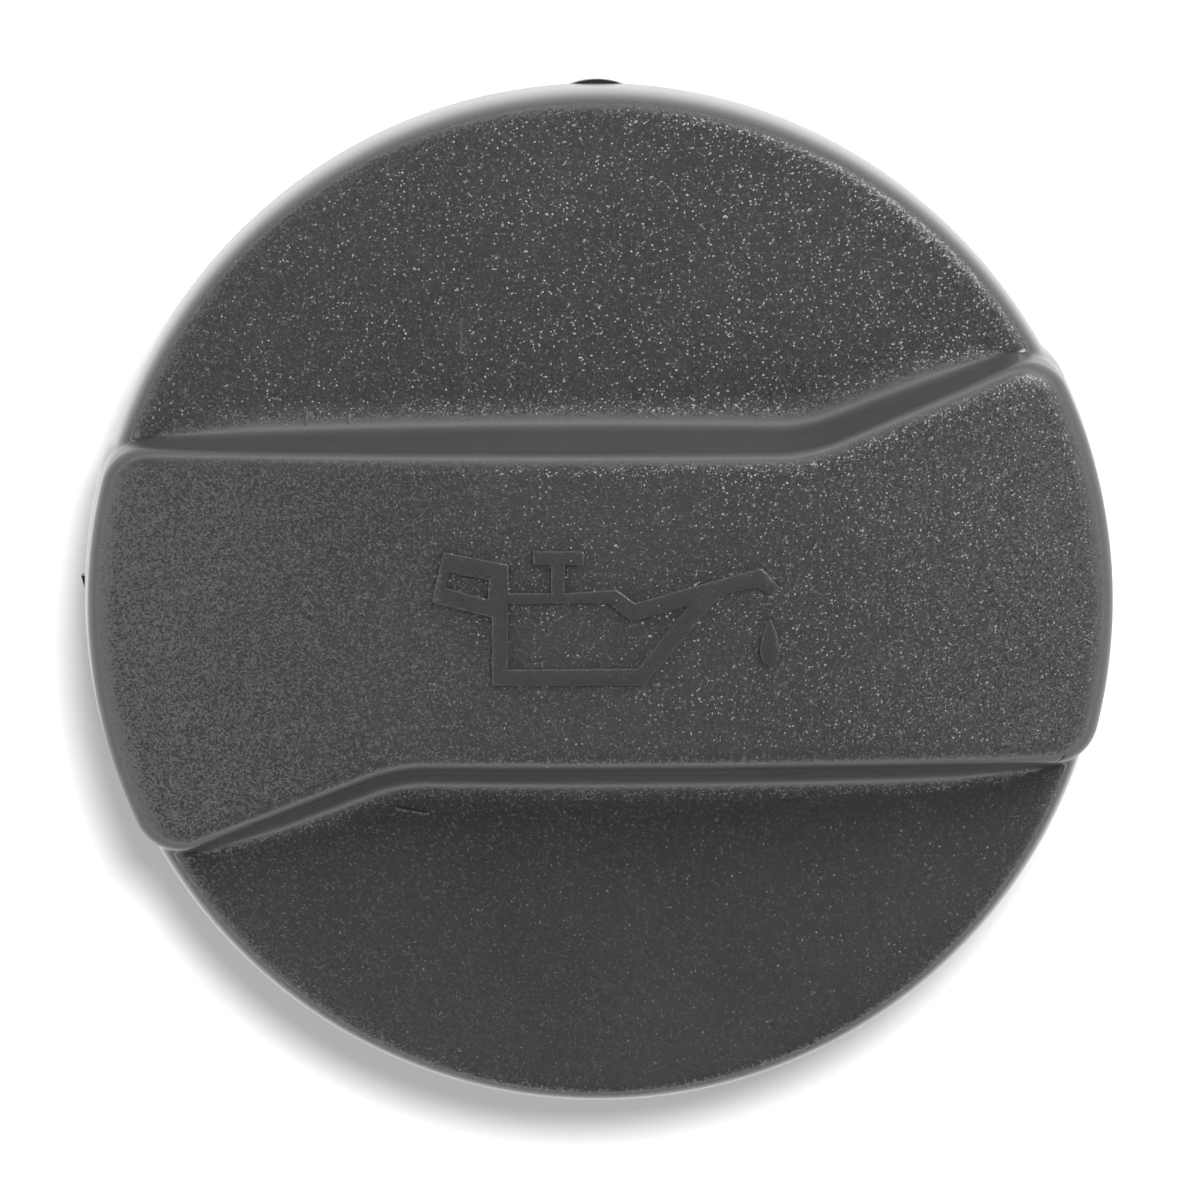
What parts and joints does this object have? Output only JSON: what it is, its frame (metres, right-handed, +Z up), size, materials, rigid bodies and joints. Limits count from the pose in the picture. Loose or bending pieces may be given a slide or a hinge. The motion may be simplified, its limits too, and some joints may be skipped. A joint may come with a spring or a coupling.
{
  "type": "engine oil filler cap",
  "caption": "Round engine oil filler cap with an S-shaped grip bar across its disc, a bayonet spigot below and a rubber seal ring.",
  "frame": {"origin": "centre of the spigot's free end, on which the cap stands", "axes": "+Z up along the cap's axis, out of the engine; +X along the grip bar; +Y across it, towards the picture's top"},
  "size_m": [0.0718, 0.0708, 0.0349],
  "materials": {
    "head_plastic": "spark-eroded grain on the flat faces, smooth walls and edges",
    "insert_plastic": "smooth moulded",
    "seal_rubber": "matt moulded"
  },
  "bodies": {
    "root": {"grip_head": "head_plastic", "bayonet_insert": "insert_plastic", "seal_ring": "seal_rubber"}
  },
  "joints": []
}
